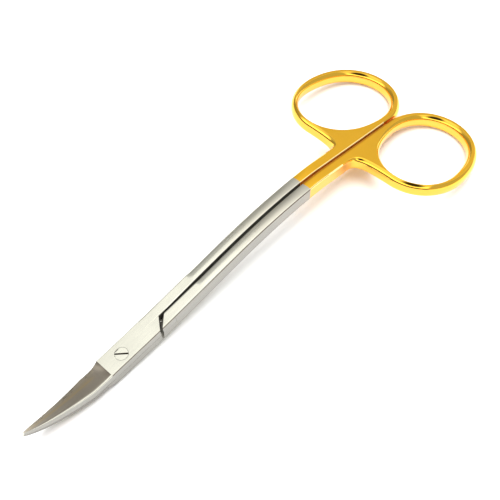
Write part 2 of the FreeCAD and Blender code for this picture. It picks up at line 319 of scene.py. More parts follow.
# Millimetres, and reaches are measured along the curve
blades = {
    "start": -5.6, "flatReach": 7.0, "bend": 45.0, "reach": 24.9,
    "rootHalf": 3.15, "tipHalf": 0.28, "rootThick": 2.6, "tipThick": 0.9,
    "taper": 20.0, "fullness": 0.75, "slideGap": 0.06,
    "rootLand": 0.9, "tipLand": 0.45, "spineFlat": 0.3, "corner": 0.25, "runOut": 3.3,
    "insertStart": 2.2, "insertEnd": 1.0, "insertRise": 0.38,
    "leastRise": 0.3,                           # the bevel's rise counts as at least this
    "bevelSteps": 6, "insertSteps": 3,          # faces across
    "rootSteps": 12, "bodySteps": 70, "tipSteps": 5,
    "sideColumns": {"inGap": (0,), "wall": (1, 2, 14, 15)},
    "bevelColumns": range(8, 14),
    # the insert's land gets painted shade
    "landColumns": (4, 5),                      # the insert's
    "seamShade": 0.21,                          # height of the dark strip along the seam
    "shadeSpan": 0.4,                           # the bevel's finish number rises and falls this far
    # the tint is a painted reflection along the bevel beside the insert
    "tint": (0.0, 0.0, 0.0, 0.1, 0.4, 0.25),    # its fall, from the spine to the insert
    "tintRows": 8,                              # rows over which the tint begins
}


def bendHeight(reach):
    past = max(0.0, reach - blades["flatReach"])
    return blades["bend"] - math.sqrt(blades["bend"] ** 2 - past ** 2)


def bladeLength():
    return blades["flatReach"] + blades["start"] + blades["reach"]


def bladeSizes(along):
    s = blades
    share = min(1.0, max(0.0, (bladeLength() - along) / s["taper"]))
    half = s["tipHalf"] + (s["rootHalf"] - s["tipHalf"]) * share ** s["fullness"]
    thick = s["tipThick"] + (s["rootThick"] - s["tipThick"]) * (1 - (1 - share) ** 2)
    land = s["rootLand"] + (s["tipLand"] - s["rootLand"]) * along / bladeLength()
    return half, thick, land


# The height is measured square to the curved sliding face
def bladePoint(along, side, across, height):
    s = blades
    angle = max(0.0, along - s["flatReach"] - s["start"]) / s["bend"]
    if angle > 0:
        x = -s["flatReach"] - s["bend"] * math.sin(angle)
        z = s["bend"] * (1 - math.cos(angle))
    else:
        x, z = s["start"] - along, 0.0
    x += side * height * math.sin(angle)
    z += side * height * math.cos(angle)
    y = side * across
    if height == 0:
        z = bendHeight(math.hypot(x, y - screwOffset)) + side * s["slideGap"] / 2
    return (x, y, z)


# How far the grinding has come to its full depth
def groundShare(along):
    return 1 - (1 - min(1.0, along / blades["runOut"])) ** 2


# Cross-section of a blade, or of the strip along its edge when part is "insert"
def bladeRing(along, side, part):
    s = blades
    half, thick, land = bladeSizes(along)
    corner = s["corner"] * half / s["rootHalf"]
    flat = s["spineFlat"] * half / s["rootHalf"]
    edgeHeight = thick - corner + (land - thick + corner) * groundShare(along)
    top = -half + corner + flat
    seam = half - (half - top) * s["insertRise"] / max(thick - land, s["leastRise"])
    seamHeight = edgeHeight + (thick - edgeHeight) * (half - seam) / (half - top)
    if part == "insert":
        steps = s["insertSteps"]
        outline = [(seam, 0.0)]
        outline += [(seam + (half - seam) * k / steps, seamHeight + (edgeHeight - seamHeight) * k / steps)
                    for k in range(steps + 1)]
        outline += [(half, edgeHeight / 2), (half, 0.0)]
    else:
        steps = s["bevelSteps"]
        bevelEnd, bevelHeight = (half, edgeHeight) if part == "whole" else (seam, seamHeight)
        shadeHeight = s["seamShade"] * corner / s["corner"]
        outline = [(-half, 0.0), (-half, shadeHeight), (-half, (thick - corner) / 2)]
        outline += [(-half + inset, thick - drop) for inset, drop in reversed(cornerRounding(corner))]
        outline += [(top + (bevelEnd - top) * k / steps, thick + (bevelHeight - thick) * k / steps)
                    for k in range(steps + 1)]
        outline += [(bevelEnd, bevelHeight / 2), (bevelEnd, 0.0), (0.0, 0.0)]
    return [bladePoint(along, side, across, height) for across, height in outline]


def addBlade(shell, side):
    s = blades
    end = bladeLength()
    spans = ((0.0, s["insertStart"], "whole", s["rootSteps"]),
             (s["insertStart"], end - s["insertEnd"], "body", s["bodySteps"]),
             (end - s["insertEnd"], end, "whole", s["tipSteps"]))
    for first, last, part, count in spans:
        stations = spread(first, last, count)

        # the bevel's finish number rises towards the joint, for painted shade where the bevel begins, and
        # falls beside the insert, for a painted reflection there
        def bevelFinish(row, k):
            if k not in s["bevelColumns"]:
                return None
            tint = 0.0
            if part == "body":
                tint = s["tint"][k - s["bevelColumns"][0]] * min(1.0, row / s["tintRows"])
            return ground + s["shadeSpan"] * (1 - groundShare(stations[row])) - tint

        shell.loft([bladeRing(along, side, part) for along in stations],
                   columns=finishColumns(**s["sideColumns"]), rowFinish=bevelFinish)


def edgeInsert(name, side):
    s = blades
    shell = Shell()
    stations = spread(s["insertStart"], bladeLength() - s["insertEnd"], s["bodySteps"])
    shell.loft([bladeRing(along, side, "insert") for along in stations],
               columns=finishColumns(edge=s["landColumns"]))
    return shell.finish(name)


# The lap joint at the screw; x is measured from the screw
layers = {
    "thick": 2.6, "endHalf": 3.25, "shankStart": 9.0, "corner": 0.3,
    "notchOuter": 10.95, "notchInner": 13.65, "notchGapOuter": 0.95, "notchGapInner": 1.55,
    "gapAtNotch": 0.15, "overlap": 0.6, "countersink": 1.86, "threadHole": 1.12, "holeDepth": 1.0,
    "holeSteps": 48,
    "notchColumns": (1, 2), "longColumns": (0, 5),
    # the edge rows carry a painted dark line and the wall row painted shade
    "longFinishes": (polished, polished, edge, edge, wall),     # from the face down to the wall
}


# The layer that covers the other half; the front half's is the upper one
def addLayer(shell, side):
    s = layers
    start, wide = blades["start"], blades["rootHalf"]
    slant = (s["notchInner"] - s["notchOuter"]) / (s["endHalf"] + s["gapAtNotch"])

    def loop(inset, height):
        points = [(start, -wide + inset), (s["notchOuter"] + slant * inset, -s["endHalf"] + inset),
                  (s["notchInner"], s["gapAtNotch"]), (s["notchInner"], s["overlap"]),
                  (s["shankStart"], s["overlap"]), (s["shankStart"], s["endHalf"] - inset),
                  (start, wide - inset)]
        return [(x, side * y, side * height) for x, y in points]

    def layerFinish(row, k):
        if k in s["notchColumns"]:
            return inGap
        return s["longFinishes"][row] if k in s["longColumns"] else None

    rings = [loop(inset, s["thick"] - drop) for inset, drop in cornerRounding(s["corner"])]
    rings.append(loop(0.0, blades["slideGap"] / 2))
    rows = shell.loft(rings, capStart=False, rowFinish=layerFinish)
    radius = s["countersink"] if side > 0 else s["threadHole"]
    angles = spread(0, 2 * math.pi, s["holeSteps"])[:-1]
    circle = [(radius * math.cos(a), screwOffset + radius * math.sin(a)) for a in angles]
    bore = [[(x, y, side * (s["thick"] - depth)) for x, y in circle] for depth in (0.0, s["holeDepth"])]
    holeRows = shell.loft(bore, capStart=False)
    shell.plate(rows[0], [holeRows[0]])


# The top line's points are shares of the shank's length and heights above the joint face
shanks = {
    "length": 69.4, "foot": (0.28, 0.65), "crest": (0.57, 1.29), "fall": (0.787, 0.45), "drop": 2.1,
    "slope": 14.5, "frontRoll": 6.0, "rearRoll": 3.0,               # degrees
    "endHalf": 3.5, "endDepth": 4.35, "gap": 0.38, "gapFullAt": 28.0, "gapCorner": 0.17, "gapSteps": 3,
    "corner": 0.36, "cornerWidensOver": 3.0, "wallShares": (0.3, 0.5, 0.7),
    "crownStart": 26.7, "crownRise": 0.17, "crownRunOut": 1.6, "faceSteps": 10,
    "grooveDepth": 0.6, "grooveWidth": 0.8, "grooveToe": 0.08, "grooveRamp": 0.06, "grooveSeen": 0.02,
    "levelAt": 14.0,                    # where the face's height beyond the notch is taken
    # where the skin's rings stand, as distances from the screw and how many steps there are
    "beforeNotch": (10.8, 3), "atNotch": (10.86, 12.06, 28), "afterNotch": (12.3, 8), "splitEnd": 16.5,
    "plainSteps": 16, "crownSteps": 7, "fullSteps": 96, "crownGap": 0.2, "fullGap": 0.5,
    "wallSteps": 8, "cutWallSteps": 4, "cutSteps": 10,
    "grooveColumns": range(15, 27), "slideColumn": 27, "slideFromRow": 4,
    # edge columns carry a painted dark line on steel and a painted highlight on gold, rim columns a painted
    # highlight, wall columns painted shade
    "wholeColumns": {"inGap": (0, 1), "edge": (17, 18), "wall": range(19, 27)},
    "cutColumns": {"inGap": (0, 1), "edge": (17, 18), "wall": range(19, 23)},
    "frontColumns": {"inGap": (0, 39, 36, 37, 38), "edge": (15, 16, 17, 22, 23), "rim": (1, 2, 3, 14),
                     "wall": range(18, 22)},
    "rearColumns": {"inGap": (0, 39, 1, 2, 3), "edge": (16, 17, 22, 23), "rim": (36, 37, 38, 14),
                    "wall": range(18, 22)},
}


# Smooth curve through plane points, as a function of the chord length that gives point and direction
def clampedSpline(points, startSlope, endSlope):
    knots = [0.0]
    for a, b in zip(points, points[1:]):
        knots.append(knots[-1] + math.dist(a, b))
    count = len(points)
    slopes = []
    for axis in (0, 1):
        matrix = np.zeros((count, count))
        right = np.zeros(count)
        matrix[0, 0] = matrix[-1, -1] = 1.0
        right[0], right[-1] = startSlope[axis], endSlope[axis]
        for k in range(1, count - 1):
            before, after = knots[k] - knots[k - 1], knots[k + 1] - knots[k]
            matrix[k, k - 1:k + 2] = after, 2 * (before + after), before
            right[k] = 3 * (after * (points[k][axis] - points[k - 1][axis]) / before
                            + before * (points[k + 1][axis] - points[k][axis]) / after)
        slopes.append(np.linalg.solve(matrix, right))

    def curve(t):
        k = max(0, min(count - 2, sum(knot <= t for knot in knots) - 1))
        step = knots[k + 1] - knots[k]
        q = (t - knots[k]) / step
        value, pace = [], []
        for axis in (0, 1):
            p0, p1 = points[k][axis], points[k + 1][axis]
            m0, m1 = slopes[axis][k] * step, slopes[axis][k + 1] * step
            value.append((2 * q**3 - 3 * q**2 + 1) * p0 + (q**3 - 2 * q**2 + q) * m0
                         + (3 * q**2 - 2 * q**3) * p1 + (q**3 - q**2) * m1)
            pace.append(((6 * q**2 - 6 * q) * p0 + (3 * q**2 - 4 * q + 1) * m0
                         + (6 * q - 6 * q**2) * p1 + (3 * q**2 - 2 * q) * m1) / step)
        size = math.hypot(*pace)
        return value, (pace[0] / size, pace[1] / size)

    return curve, knots[-1]


def shankLine():
    s = shanks
    begin, top = layers["shankStart"], layers["thick"]
    points = [(begin, top)]
    points += [(begin + share * s["length"], top + rise)
               for share, rise in (s["foot"], s["crest"], s["fall"])]
    points.append((begin + s["length"], top - s["drop"]))
    slope = math.radians(s["slope"])
    return clampedSpline(points, (1.0, 0.0), (math.cos(slope), -math.sin(slope)))


topLine, topLineLength = shankLine()


# Point and direction of the top line at a distance from the screw, found by halving
def lineAt(x):
    low, high = 0.0, topLineLength
    for _ in range(40):
        middle = (low + high) / 2
        if topLine(middle)[0][0] < x:
            low = middle
        else:
            high = middle
    return topLine(low)


def shankSizes(x):
    s = shanks
    share = (x - layers["shankStart"]) / s["length"]
    outer = layers["endHalf"] + (s["endHalf"] - layers["endHalf"]) * share
    depth = 2 * layers["thick"] + (s["endDepth"] - 2 * layers["thick"]) * share
    opened = min(1.0, (x - layers["shankStart"]) / (s["gapFullAt"] - layers["shankStart"]))
    inner = layers["gapAtNotch"] + (s["gap"] - layers["gapAtNotch"]) * opened
    begins = min(1.0, max(0.0, (x - s["crownStart"]) / s["crownRunOut"]))
    ends = min(1.0, max(0.0, (1 - share) / (1 - s["fall"][0])))
    return inner, outer, depth, begins * ends


# From the gap's edge over the face to the outer wall, as (across, drop);
# rolled faces lean to the front half's side
def faceProfile(inner, outer, crowned, side, corner):
    s = shanks
    besideGap = reversed(cornerRounding(s["gapCorner"], s["gapSteps"]))
    profile = [(inner + inset, drop) for inset, drop in besideGap]
    first, last = inner + s["gapCorner"], outer - corner
    for k in range(1, s["faceSteps"]):
        q = k / s["faceSteps"]
        profile.append((first + (last - first) * q, -crowned * s["crownRise"] * 4 * q * (1 - q)))
    profile += [(outer - inset, drop) for inset, drop in cornerRounding(corner)]
    lean = math.tan(math.radians(s["frontRoll"] if side > 0 else s["rearRoll"])) * crowned
    return [(y, drop + lean * (y - inner if side > 0 else outer - y)) for y, drop in profile]


# Closed section as (across, depth under the top line), from the gap round over the top
def shankOutline(x, side):
    s = shanks
    inner, outer, depth, crowned = shankSizes(x)
    widened = min(1.0, max(0.0, (x - s["crownStart"]) / s["cornerWidensOver"]))
    corner = layers["corner"] + (s["corner"] - layers["corner"]) * widened
    upper = faceProfile(inner, outer, crowned, side, corner)
    lower = [(y, depth - drop) for y, drop in reversed(faceProfile(inner, outer, crowned, 0, corner))]
    walls = [(outer, depth * share) for share in s["wallShares"]]
    return [(inner, depth / 2)] + upper + walls + lower


def shankRing(x, side):
    (px, pz), (dx, dz) = lineAt(x)
    return [(px + dz * depth, side * across, pz - dx * depth) for across, depth in shankOutline(x, side)]


# Depth of the notch filed into the outer wall, at a height from the sliding face outwards
def grooveAt(x, height):
    s = shanks
    share = min(1.0, max(0.0, height / layers["thick"]))
    centre = layers["notchOuter"] + s["grooveWidth"] / 2
    half = s["grooveWidth"] / 2 * (1 - share) + s["grooveToe"] / 2 * share
    deep = s["grooveDepth"] * (1 - share) + s["grooveToe"] * share
    return deep * max(0.0, min(1.0, (half + s["grooveRamp"] - abs(x - centre)) / s["grooveRamp"]))


# The shank's start on the half's own side of the sliding face, and how deep the groove is at each point
def wholePart(side):
    s = shanks
    corner, foot = layers["corner"], blades["slideGap"] / 2
    stations = spread(layers["shankStart"], *s["beforeNotch"]) + spread(*s["atNotch"])
    stations += spread(s["afterNotch"][0], s["splitEnd"], s["afterNotch"][1])
    rings, grooves = [], []
    for x in stations:
        inner, outer, depth, _ = shankSizes(x)
        (px, pz), _ = lineAt(x)
        face = pz if side > 0 else depth - pz
        outline = [(inner, foot), (inner, face / 2)]
        outline += [(y, face - drop) for y, drop in faceProfile(inner, outer, 0.0, side, corner)]
        outline += [(outer, height) for height in spread(face - corner, foot, s["wallSteps"])[1:]]
        groove = [grooveAt(x, height) if y > outer - corner else 0.0 for y, height in outline]
        rings.append([(x, side * (y - deep), side * height) for (y, height), deep in zip(outline, groove)])
        grooves.append(groove)
    return rings, grooves


# The shank beyond the notch, on the other half's side of the sliding face
def cutPart(side):
    s = layers
    inner, outer, depth, _ = shankSizes(s["notchInner"])
    level = lineAt(shanks["levelAt"])[0][1]
    face = (depth - level) if side > 0 else level
    foot = -blades["slideGap"]
    outline = [(inner, foot), (inner, face / 2)]
    outline += [(y, face - drop) for y, drop in faceProfile(inner, outer, 0.0, side, s["corner"])]
    outline += [(outer, height) for height in spread(face - s["corner"], foot, shanks["cutWallSteps"])[1:]]
    outerEnd = s["notchOuter"] + s["notchGapOuter"]
    innerEnd = s["notchInner"] + s["notchGapInner"]
    rings = []
    for q in spread(0.0, 1.0, shanks["cutSteps"]):
        ring = []
        for y, height in outline:
            begin = outerEnd + (innerEnd - outerEnd) * (s["endHalf"] - y) / (s["endHalf"] - shanks["gap"])
            x = begin + (shanks["splitEnd"] - begin) * q
            near, far, thick, _ = shankSizes(x)
            top = lineAt(x)[0][1]
            scaled = height * ((thick - top) if side > 0 else top) / face
            across = near + (y - inner) * (far - near) / (outer - inner)
            ring.append((x, side * across, -side * scaled))
        rings.append(ring)
    return rings


def addShank(shell, side):
    s = shanks
    rings, grooves = wholePart(side)

    def inGroove(row, k):
        if k == s["slideColumn"] and row >= s["slideFromRow"]:
            return inGap
        if k not in s["grooveColumns"]:
            return None
        corners = (grooves[row][k], grooves[row][k + 1], grooves[row + 1][k], grooves[row + 1][k + 1])
        return inGap if min(corners) > s["grooveSeen"] else None

    shell.loft(rings, columns=finishColumns(**s["wholeColumns"]), rowFinish=inGroove)
    shell.loft(cutPart(side), columns=finishColumns(**s["cutColumns"]), cap=inGap)
    end = layers["shankStart"] + s["length"]
    crownFull = s["crownStart"] + s["crownRunOut"]
    stations = spread(s["splitEnd"], s["crownStart"], s["plainSteps"])
    stations += spread(s["crownStart"] + s["crownGap"], crownFull, s["crownSteps"])
    stations += spread(crownFull + s["fullGap"], end, s["fullSteps"])
    shell.loft([shankRing(x, side) for x in stations],
               columns=finishColumns(**s["frontColumns" if side > 0 else "rearColumns"]))


# Measured in the handle plane, from the handle's start
handles = {
    "centre": (32.2, 15.2), "radius": 16.45, "stretch": 1.63, "lean": -0.4,
    "holeCentre": (31.8, 15.45), "holeRadius": 14.95, "holeStretch": 1.95, "holeLean": -0.55,
    "bulge": 0.7, "bulgePower": 3, "flatInset": -0.28,
    "neckShoulder": 0.7, "neckStart": 8.0, "neckCorner": 0.85, "neckPull": 2.0,
    "cornerSteps": 6, "wallDepths": (0.58, 0.75, 1.0, 1.32, 1.72),
    "flankSteps": 12, "neckSteps": 40, "ringSteps": 150, "gapSteps": 40,
    "rimColumns": range(10),
}


def ringPoint(centre, radius, stretch, lean, angle):
    r = radius + stretch * math.cos(2 * angle) + lean * math.sin(2 * angle)
    return (centre[0] + r * math.cos(angle), centre[1] + r * math.sin(angle))


# (depth, inset of the shank's wall, swelling of the ring's wall) from the top face to the bottom one
def handleLevels():
    s = handles
    depth = shanks["endDepth"]
    upper = [(drop, inset) for inset, drop in cornerRounding(shanks["corner"], s["cornerSteps"])]
    upper += [(d, 0.0) for d in (*s["wallDepths"], depth / 2)]
    levels = upper + [(depth - d, inset) for d, inset in reversed(upper[:-1])]
    result = []
    for d, inset in levels:
        share = abs(1 - 2 * d / depth)
        swelling = s["flatInset"] + (s["bulge"] - s["flatInset"]) * (1 - share ** s["bulgePower"])
        result.append((d, inset, swelling))
    return result


def handlePoint(x, y, depth, side):
    slope = math.radians(shanks["slope"])
    x0 = layers["shankStart"] + shanks["length"]
    z0 = layers["thick"] - shanks["drop"]
    return (x0 + x * math.cos(slope) - depth * math.sin(slope), side * y,
            z0 - x * math.sin(slope) - depth * math.cos(slope))


# Outer loop at one depth: flank, neck, ring and back along the gap
def handleOutline(depth, inset, swelling):
    s = handles
    flank = shanks["endHalf"] - inset
    rounding = shanks["gapCorner"]
    near = max(0.0, rounding - min(depth, shanks["endDepth"] - depth))
    gap = shanks["gap"] + rounding - math.sqrt(rounding ** 2 - near ** 2)
    outline = [(x, flank) for x in spread(0.0, s["neckStart"], s["flankSteps"])[:-1]]
    start = Vector((s["neckStart"], flank))
    join = Vector(ringPoint(s["centre"], s["radius"] + swelling, s["stretch"], s["lean"], math.pi))
    shoulder = (s["bulge"] - swelling) / (s["bulge"] - s["flatInset"])
    corner = Vector((join.x, flank - s["neckShoulder"] * shoulder))
    poles = (start, start + (corner - start) * s["neckCorner"], corner + Vector((0.0, s["neckPull"])), join)
    for q in spread(0.0, 1.0, s["neckSteps"])[:-1]:
        weights = ((1 - q) ** 3, 3 * q * (1 - q) ** 2, 3 * q * q * (1 - q), q ** 3)
        point = sum((pole * weight for pole, weight in zip(poles, weights)), Vector((0.0, 0.0)))
        outline.append((point.x, point.y))
    for angle in spread(math.pi, -math.pi / 2, s["ringSteps"]):
        x, y = ringPoint(s["centre"], s["radius"] + swelling, s["stretch"], s["lean"], angle)
        outline.append((x, max(y, gap)))
    lastX = outline[-1][0]
    outline += [(x, gap) for x in spread(lastX, 0.0, s["gapSteps"])[1:]]
    return outline


def addHandle(shell, side):
    s = handles
    levels = handleLevels()
    outer = [[handlePoint(x, y, depth, side) for x, y in handleOutline(depth, inset, swelling)]
             for depth, inset, swelling in levels]
    outline, corner, last = len(outer[0]), s["cornerSteps"], len(levels) - 2
    alongGap = range(outline - s["gapSteps"] - 1, outline - 1)

    # the rim finish on the rounded rows is a painted highlight
    def handleRims(row, k):
        rounded = row < corner or row > last - corner
        if k in alongGap:
            return rim if rounded and side > 0 else None
        return rim if rounded and k in s["rimColumns"] else None

    outerRows = shell.loft(outer, capStart=False, capEnd=False,
                           columns=finishColumns(inGap=alongGap), rowFinish=handleRims)
    hole = []
    for depth, _, swelling in levels:
        ring = [ringPoint(s["holeCentre"], s["holeRadius"] - swelling, s["holeStretch"], s["holeLean"], a)
                for a in spread(0.0, 2 * math.pi, s["ringSteps"])[:-1]]
        hole.append([handlePoint(x, y, depth, side) for x, y in ring])
    holeRows = shell.loft(hole, capStart=False, capEnd=False)
    for end in (0, -1):
        shell.plate(outerRows[end], [holeRows[end]])


# side is 1 for the front half and -1 for the rear one
def buildHalf(name, side):
    shell = Shell()
    for build in (addBlade, addLayer, addShank, addHandle):
        build(shell, side)
    return shell.finish(name)


# Colours of metal; lengths are in metres
halves = {
    "grain": (2600.0, 0.04, 90.0, 0.15),
    "platingEdge": 0.0214,        # the gold begins here, from the middle
    "platingSoftness": 0.00006,
    "steel": (0.67, 0.66, 0.562),
    "steelArch": (0.60, 0.572, 0.475),
    "archedFrom": (-0.018, 0.008),
    # the walls' steel is darker: painted shade, on walls with a satin finish of their own roughness
    "steelWallShade": (0.325, 0.315, 0.285),
    "steelGround": (0.43, 0.38, 0.305),
    # darker steel where the bevel begins: painted shade that dims a bright reflection
    "steelGroundStartShade": (0.19, 0.165, 0.13),
    # lighter, warmer steel beside the insert: a painted reflection
    "steelReflectionTint": (0.50, 0.405, 0.26),
    "steelGap": (0.24, 0.23, 0.2),
    # dark line along the steel's edges: a painted dark reflection
    "steelEdgeShade": (0.12, 0.088, 0.06),
    "gold": (1.0, 0.585, 0.065),
    "goldFace": (1.0, 0.545, 0.035),
    "goldWall": (0.95, 0.48, 0.078),
    # darker, redder gold beside the gap on the rear half: painted shade
    "goldShadeBesideGap": (0.62, 0.21, 0.012),
    # where the painted shade beside the gap fades, as distances from the middle
    "besideGap": (0.0005, 0.0012),
    # light rims and edges on the gold: a painted highlight
    "goldRimHighlight": (1.0, 0.82, 0.36),
    "goldGap": (0.86, 0.44, 0.045),
    "handleUp": (0.150, 0.0, 0.9887),     # square to the handles' faces
    "flatFrom": (0.95, 0.992),            # cosines to it, for the faces and for the walls
    "uprightTo": (0.15, 0.45),
    "cloudRange": (0.3, 0.7, 0.96, 1.02),
    "lineRange": (0.25, 0.75, -0.03, 0.05),
    "steelRoughness": 0.19,
    "archRoughness": 0.31,
    "wallRoughness": 0.22,
    "groundRoughness": 0.33,
    "goldRoughness": 0.06,
    "goldFaceRoughness": 0.33,
    "glintRoughness": 0.3,
    "gapRoughness": 0.6,
    # the rims are made less metallic so that they glow: a painted highlight
    "glintMetal": 0.35,
    "grainHeight": 0.0000006,
    "grainStrength": 0.35,
}


def halvesMaterial():
    s = halves
    material, tree, shader, position = newMaterial("satinSteelAndGold")
    grain = grainNode(tree, position, s["grain"])
    finish = addNode(tree, "ShaderNodeAttribute", "kind of finish", attribute_name="finish").outputs["Fac"]
    isGround, isWall, isGap, isEdge, isRim = (
        equals(tree, finish, kind) for kind in (ground, wall, inGap, edge, rim))
    split = addNode(tree, "ShaderNodeSeparateXYZ")
    tree.links.new(position, split.inputs[0])
    plating, soft = s["platingEdge"], s["platingSoftness"]
    gold = rangeNode(tree, split.outputs["X"], plating - soft, plating + soft, label="plated part")
    geometry = addNode(tree, "ShaderNodeNewGeometry")
    ownNormal = addNode(tree, "ShaderNodeVectorTransform", vector_type="NORMAL", convert_from="WORLD",
                        convert_to="OBJECT")
    tree.links.new(geometry.outputs["True Normal"], ownNormal.inputs[0])
    facing = dotNode(tree, ownNormal.outputs[0], s["handleUp"], "how flat it lies")
    level = mathNode(tree, "ABSOLUTE", facing)
    flat = rangeNode(tree, level, *s["flatFrom"], label="matt upper and lower faces")
    upright = rangeNode(tree, level, *s["uprightTo"], 1.0, 0.0, label="walls")
    arched = rangeNode(tree, split.outputs["X"], *s["archedFrom"], label="duller arch")

    steel = mixColour(tree, arched, s["steel"], s["steelArch"], "upper faces")
    # painted shade on the steel side walls
    steel = mixColour(tree, isWall, steel, s["steelWallShade"], "side walls with painted shade")
    # painted shade where the bevel begins
    begins = rangeNode(tree, finish, ground, ground + blades["shadeSpan"], smooth=False,
                       label="painted shade where the bevel begins")
    bevel = mixColour(tree, begins, s["steelGround"], s["steelGroundStartShade"])
    # painted reflection beside the insert
    reflectionBand = rangeNode(tree, finish, ground - blades["shadeSpan"], ground, 1.0, 0.0, smooth=False,
                       label="painted reflection beside the insert")
    bevel = mixColour(tree, reflectionBand, bevel, s["steelReflectionTint"])
    steel = mixColour(tree, isGround, steel, bevel, "ground bevels")
    # painted dark line along the steel's edges
    steel = mixColour(tree, isEdge, steel, s["steelEdgeShade"], "painted dark line along edges")
    steel = mixColour(tree, isGap, steel, s["steelGap"], "inside the gap")

    plated = mixColour(tree, flat, s["gold"], s["goldFace"], "gold")
    plated = mixColour(tree, upright, plated, s["goldWall"], "gold walls")
    # painted shade on the rear half's gold beside the gap
    away = mathNode(tree, "ABSOLUTE", split.outputs["Y"])
    shaded = rangeNode(tree, away, *s["besideGap"], 1.0, 0.0, label="painted shade beside the gap")
    onRear = mathNode(tree, "LESS_THAN", split.outputs["Y"], 0.0)
    shaded = mathNode(tree, "MULTIPLY", shaded, onRear)
    plated = mixColour(tree, shaded, plated, s["goldShadeBesideGap"])
    # painted highlight on the gold's edges and rims
    paintedGlint = mathNode(tree, "MAXIMUM", isEdge, isRim, label="painted highlight on edges and rims")
    plated = mixColour(tree, paintedGlint, plated, s["goldRimHighlight"], "painted highlight on the gold")
    plated = mixColour(tree, isGap, plated, s["goldGap"], "inside the gap")

    base = mixColour(tree, gold, steel, plated, "steel or gold")
    clouds = rangeNode(tree, grain["Clouds"], *s["cloudRange"])
    toned = addNode(tree, "ShaderNodeVectorMath", "clouded", operation="SCALE")
    tree.links.new(base, toned.inputs[0])
    tree.links.new(clouds, toned.inputs["Scale"])
    tree.links.new(toned.outputs[0], shader.inputs["Base Color"])

    rough = mixValue(tree, arched, s["steelRoughness"], s["archRoughness"])
    rough = mixValue(tree, isWall, rough, s["wallRoughness"])
    rough = mixValue(tree, isGround, rough, s["groundRoughness"])
    rough = mathNode(tree, "ADD", rough, rangeNode(tree, grain["Lines"], *s["lineRange"], label="brushed"))
    platedRough = mixValue(tree, flat, s["goldRoughness"], s["goldFaceRoughness"])
    platedRough = mixValue(tree, paintedGlint, platedRough, s["glintRoughness"])
    rough = mixValue(tree, gold, rough, platedRough)
    rough = mixValue(tree, isGap, rough, s["gapRoughness"], "roughness")
    tree.links.new(rough, shader.inputs["Roughness"])
    # less metallic rims for the painted highlight
    tree.links.new(mixValue(tree, isRim, 1.0, s["glintMetal"], "painted highlight on less metallic rims"), shader.inputs["Metallic"])
    bump = addNode(tree, "ShaderNodeBump", "grain height")
    setInputs(bump, Strength=s["grainStrength"], Distance=s["grainHeight"])
    tree.links.new(grain["Height"], bump.inputs["Height"])
    tree.links.new(bump.outputs[0], shader.inputs["Normal"])
    return material


screw = {
    "grain": (2600.0, 0.06, 300.0, 0.15),
    # the slot's dark colour is painted shade in the recess
    "colour": (0.67, 0.66, 0.562), "slotShade": (0.09, 0.06, 0.03),
    "roughness": (0.13, 0.23), "slotRoughness": 0.5, "lineRange": (0.25, 0.75),
    "headTop": 2.6,                       # millimetres above the sliding face
    "slotFrom": (0.00016, 0.00004),       # metres under the top
}


def screwMaterial():
    s = screw
    material, tree, shader, position = newMaterial("screwSteel")
    grain = grainNode(tree, position, s["grain"])
    along = dotNode(tree, position, toolUp, "height along the screw")
    top = toolMiddle.dot(toolUp) + s["headTop"] * metresPerUnit
    deep, shallow = s["slotFrom"]
    # painted shade, deeper in the slot
    sunk = rangeNode(tree, along, top - deep, top - shallow, 1.0, 0.0, label="painted shade in the slot")
    base = mixColour(tree, sunk, s["colour"], s["slotShade"], "head or slot")
    tree.links.new(base, shader.inputs["Base Color"])
    rough = rangeNode(tree, grain["Lines"], *s["lineRange"], *s["roughness"])
    tree.links.new(mixValue(tree, sunk, rough, s["slotRoughness"]), shader.inputs["Roughness"])
    shader.inputs["Metallic"].default_value = 1.0
    return material


inserts = {
    "grain": (5200.0, 0.5, 260.0, 0.3),
    # the land's darker colour is painted shade
    "colour": (0.50, 0.44, 0.335), "dark": (0.45, 0.39, 0.30), "land": (0.24, 0.235, 0.215),
    "roughness": (0.25, 0.38), "cloudRange": (0.3, 0.7),
}


def insertMaterial():
    s = inserts
    material, tree, shader, position = newMaterial("hardMetal")
    grain = grainNode(tree, position, s["grain"])
    base = mixColour(tree, grain["Lines"], s["dark"], s["colour"], "grinding marks")
    finish = addNode(tree, "ShaderNodeAttribute", "kind of finish", attribute_name="finish").outputs["Fac"]
    # painted shade on the insert's land
    base = mixColour(tree, equals(tree, finish, edge), base, s["land"], "painted shade on the land under the edge")
    tree.links.new(base, shader.inputs["Base Color"])
    rough = rangeNode(tree, grain["Clouds"], *s["cloudRange"], *s["roughness"])
    tree.links.new(rough, shader.inputs["Roughness"])
    shader.inputs["Metallic"].default_value = 1.0
    return material


# Merged copy of a CAD node with smooth shading
def smoothCopy(node, name):
    mesh = node.data.copy()
    mesh.name = name
    work = bmesh.new()
    work.from_mesh(mesh)
    bmesh.ops.remove_doubles(work, verts=work.verts, dist=1e-7)
    for face in work.faces:
        face.smooth = True
    work.to_mesh(mesh)
    work.free()
    piece = bpy.data.objects.new(name, mesh)
    scene.collection.objects.link(piece)
    return evenShading(piece, shading["screwCrease"])


materials = {"halves": halvesMaterial(), "screw": screwMaterial(), "inserts": insertMaterial()}
print("finishes built")

pieces = {
    "front_half": (buildHalf("frontHalf", 1), "front", "halves"),
    "rear_half": (buildHalf("rearHalf", -1), "rear", "halves"),
    "front_edge_insert": (edgeInsert("frontEdgeInsert", 1), "front", "inserts"),
    "rear_edge_insert": (edgeInsert("rearEdgeInsert", -1), "rear", "inserts"),
    "pivot_screw": (smoothCopy(frame["nodes"]["pivot_screw"], "pivotScrew"), "rear", "screw"),
}
for nodeName, (piece, body, slotName) in pieces.items():
    piece.data.materials.clear()
    piece.data.materials.append(materials[slotName])
    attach(piece, body)
    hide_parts(nodeName)
print("pieces built")

